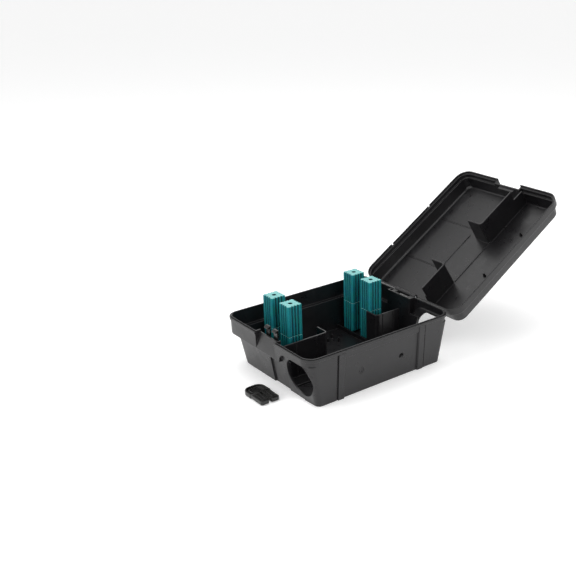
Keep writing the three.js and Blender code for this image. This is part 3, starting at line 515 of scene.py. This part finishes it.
class StageLook(bpy.types.PropertyGroup):
    floor: FloatVectorProperty(
        name="Table", description="Colour of the table", subtype="COLOR", size=3, min=0.0, max=1.0,
        default=(0.96, 0.96, 0.96))
    table_glow: FloatProperty(
        name="Table glow", description="Light that comes up through the table", default=0.22,
        min=0.0, max=4.0)
    walls: FloatProperty(
        name="Walls", description="Strength of the white walls round the table", default=1.5,
        min=0.0, max=4.0)
    ceiling: FloatProperty(
        name="Ceiling", description="Strength of the ceiling", default=0.42, min=0.0, max=4.0)
    overhead: FloatProperty(
        name="Overhead", description="Power of the overhead soft box", subtype="POWER", default=12.0,
        min=0.0, max=500.0)
    lock_side: FloatProperty(
        name="Lock side", description="Power of the soft box at the lock side", subtype="POWER", default=12.0,
        min=0.0, max=500.0)
    entry_side: FloatProperty(
        name="Entry side", description="Power of the soft box at the entry side", subtype="POWER",
        default=9.0, min=0.0, max=500.0)
    azimuth: FloatProperty(
        name="Azimuth", description="Camera turn about the upright, from the lock side", subtype="ANGLE",
        default=math.radians(50.35))
    elevation: FloatProperty(
        name="Elevation", description="Camera height angle", subtype="ANGLE", default=math.radians(20.98))
    place: FloatVectorProperty(
        name="Camera place", description="Where the camera stands", subtype="TRANSLATION", unit="LENGTH",
        size=3, default=(0.9870, -0.7377, 0.6076))
    lens: FloatProperty(
        name="Lens", description="Focal length in millimetres on a 36 mm sensor", default=56.7, min=10.0,
        max=300.0)
    shift: FloatVectorProperty(
        name="Shift", description="Lens shift as a share of the frame", size=2, default=(-0.1598, -0.0219))


class StationLook(bpy.types.PropertyGroup):
    plastic: PointerProperty(type=PlasticLook, name="Plastic", description="Moulded plastic finishes")
    bait: PointerProperty(type=BaitLook, name="Bait", description="Bait blocks")
    stage: PointerProperty(type=StageLook, name="Stage", description="Table, light and camera")


def finish_of(name, build):
    """The material of that name, made once."""
    return bpy.data.materials.get(name) or build()


# ---- operators ----
class TubOperator(bpy.types.Operator):
    """Moulds the tub with eased edges in charcoal polypropylene"""
    bl_idname = "bait_station.tub"
    bl_label = "Tub"

    def execute(self, context):
        look = context.scene.bait_station.plastic
        plastic = finish_of("moulded_polypropylene", lambda: moulded_polypropylene(look))
        moulding("base_tub", "tub_moulding", look.edge_mm, plastic, "tub")
        return {"FINISHED"}


class LidOperator(bpy.types.Operator):
    """Moulds the hinged lid with eased edges in charcoal polypropylene"""
    bl_idname = "bait_station.lid"
    bl_label = "Lid"

    def execute(self, context):
        look = context.scene.bait_station.plastic
        plastic = finish_of("moulded_polypropylene", lambda: moulded_polypropylene(look))
        moulding("lid", "lid_moulding", look.edge_mm, plastic, "lid")
        return {"FINISHED"}


class LockOperator(bpy.types.Operator):
    """Moulds the lock frame and its two spring fingers in glossy acetal"""
    bl_idname = "bait_station.lock"
    bl_label = "Lock"

    def execute(self, context):
        look = context.scene.bait_station.plastic
        acetal = finish_of("glossy_acetal", lambda: glossy_acetal(look))
        moulding("lock_frame", "lock_frame_moulding", LOCK_EDGE_MM, acetal, "tub")
        for side in ("left", "right"):
            moulding(f"latch_finger_{side}", f"finger_{side}_moulding", FINGER_EDGE_MM, acetal,
                     f"finger_{side}")
        return {"FINISHED"}


class PlugOperator(bpy.types.Operator):
    """Moulds the plug that closes one of the anchor holes"""
    bl_idname = "bait_station.plug"
    bl_label = "Anchor hole plug"

    def execute(self, context):
        look = context.scene.bait_station.plastic
        plastic = finish_of("moulded_polypropylene", lambda: moulded_polypropylene(look))
        moulding("anchor_hole_plug", "plug_moulding", PLUG_EDGE_MM, plastic, "tub")
        return {"FINISHED"}


class KeyOperator(bpy.types.Operator):
    """Moulds the loose forked key in glossy acetal"""
    bl_idname = "bait_station.key"
    bl_label = "Key"

    def execute(self, context):
        look = context.scene.bait_station.plastic
        acetal = finish_of("glossy_acetal", lambda: glossy_acetal(look))
        moulding("key", "key_moulding", KEY_EDGE_MM, acetal, "key")
        return {"FINISHED"}


class HingePinOperator(bpy.types.Operator):
    """Turns the steel hinge pin with chamfered ends"""
    bl_idname = "bait_station.hinge_pin"
    bl_label = "Hinge pin"

    def execute(self, context):
        low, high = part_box("hinge_pin")
        radius = (high.y - low.y) / 2
        ease = PIN_END_EASE
        profile = [(low.x, radius - ease), (low.x + ease * 0.4, radius - ease * 0.3), (low.x + ease, radius),
                   (high.x - ease, radius), (high.x - ease * 0.4, radius - ease * 0.3),
                   (high.x, radius - ease)]
        steel = finish_of("drawn_steel_wire", drawn_steel_wire)
        turned("hinge_pin", "hinge_pin_wire", "X", profile, steel, "tub")
        return {"FINISHED"}


class RodsOperator(bpy.types.Operator):
    """Turns the four upright bait rods with rounded tips"""
    bl_idname = "bait_station.rods"
    bl_label = "Bait rods"

    def execute(self, context):
        steel = finish_of("drawn_steel_wire", drawn_steel_wire)
        for stack in STACKS:
            low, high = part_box(f"bait_rod_{stack}")
            radius = (high.x - low.x) / 2
            tip = [(high.z - radius + radius * math.sin(a), radius * max(math.cos(a), 0.12))
                   for a in [math.radians(d) for d in (0, 15, 30, 45, 60, 75, 83)]]
            profile = [(low.z, radius * 0.8), (low.z + 0.2 * radius, radius)] + tip
            turned(f"bait_rod_{stack}", f"bait_rod_{stack}_wire", "Z", profile, steel, "tub")
        return {"FINISHED"}


class BaitOperator(bpy.types.Operator):
    """Presses the eight fluted bait blocks"""
    bl_idname = "bait_station.bait"
    bl_label = "Bait blocks"

    def execute(self, context):
        look = context.scene.bait_station.bait
        wax = finish_of("pressed_wax_bait", lambda: pressed_wax_bait(look))
        for stack in STACKS:
            for level in ("lower", "upper"):
                bait_block(f"bait_block_{stack}_{level}", f"bait_{stack}_{level}", look, wax,
                           f"block_{stack}_{level}")
        return {"FINISHED"}


class StageOperator(bpy.types.Operator):
    """Lays the table and sets the soft studio light and the camera"""
    bl_idname = "bait_station.stage"
    bl_label = "Stage"

    def execute(self, context):
        stage = context.scene.bait_station.stage
        bm = bmesh.new()
        bmesh.ops.create_grid(bm, x_segments=12, y_segments=12, size=TABLE_REACH)
        floor = object_from(bm, "table_top", lit_acrylic_table(stage))
        floor.location = (0.0, 0.0, -TABLE_DROP)

        world = bpy.data.worlds.new("studio_surround")
        world.use_nodes = True
        tree = world.node_tree
        tree.nodes.clear()
        # white walls round the table, a dimmer ceiling above them
        heading = add(tree, "ShaderNodeTexCoord").outputs["Generated"]
        upward = add(tree, "ShaderNodeSeparateXYZ", {"Vector": heading})
        glow = add(tree, "ShaderNodeMapRange", {"Value": upward.outputs["Z"]},
                   {"From Min": 0.4, "From Max": 0.66, "To Min": stage.walls, "To Max": stage.ceiling},
                   interpolation_type="SMOOTHSTEP")
        sky = add(tree, "ShaderNodeBackground", {"Strength": glow.outputs["Result"]},
                  {"Color": (1.0, 1.0, 1.0, 1.0)})
        add(tree, "ShaderNodeOutputWorld", {"Surface": sky.outputs["Background"]})
        context.scene.world = world

        for name, place, size, power in (
                ("overhead_box", (-0.35, 0.25, 1.5), (1.6, 1.2), stage.overhead),
                ("lock_side_box", (-0.4, -1.8, 1.3), (1.2, 1.0), stage.lock_side),
                ("entry_side_box", (1.9, 0.1, 1.3), (1.0, 1.0), stage.entry_side)):
            lamp = bpy.data.lights.new(name, "AREA")
            lamp.shape = "RECTANGLE"
            lamp.size, lamp.size_y = size
            lamp.energy = power
            obj = bpy.data.objects.new(name, lamp)
            obj.location = place
            aim = LAMP_TARGET - Vector(place)
            obj.rotation_euler = aim.to_track_quat("-Z", "Y").to_euler()
            context.scene.collection.objects.link(obj)

        lens = bpy.data.cameras.new("studio_camera")
        lens.lens = stage.lens
        lens.sensor_width = 36.0
        lens.shift_x, lens.shift_y = stage.shift
        lens.clip_start, lens.clip_end = 0.01, 100.0
        camera = bpy.data.objects.new("studio_camera", lens)
        camera.location = stage.place
        camera.rotation_euler = (math.pi / 2 - stage.elevation, 0.0, stage.azimuth)
        context.scene.collection.objects.link(camera)
        context.scene.camera = camera
        context.scene.view_settings.view_transform = "Standard"
        return {"FINISHED"}


PIECE_OPERATORS = (TubOperator, LidOperator, LockOperator, PlugOperator, HingePinOperator, RodsOperator,
                   BaitOperator, KeyOperator, StageOperator)


class StationPanel(bpy.types.Panel):
    """Lists the pieces and the stage"""
    bl_idname = "VIEW3D_PT_bait_station"
    bl_label = "Bait station"
    bl_space_type = "VIEW_3D"
    bl_region_type = "UI"
    bl_category = "Bait station"

    def draw(self, context):
        look = context.scene.bait_station
        for group in (look.plastic, look.bait, look.stage):
            box = self.layout.box()
            for name in group.bl_rna.properties.keys():
                if name not in ("rna_type", "name"):
                    box.prop(group, name)
        for operator in PIECE_OPERATORS:
            self.layout.operator(operator.bl_idname, text=operator.bl_label)


CLASSES = (PlasticLook, BaitLook, StageLook, StationLook) + PIECE_OPERATORS + (StationPanel,)


def register():
    for cls in CLASSES:
        bpy.utils.register_class(cls)
    bpy.types.Scene.bait_station = PointerProperty(type=StationLook)


def unregister():
    del bpy.types.Scene.bait_station
    for cls in reversed(CLASSES):
        bpy.utils.unregister_class(cls)


def main():
    register()
    for operator in PIECE_OPERATORS:
        group, name = operator.bl_idname.split(".")
        getattr(getattr(bpy.ops, group), name)()


if __name__ == "__main__":
    main()
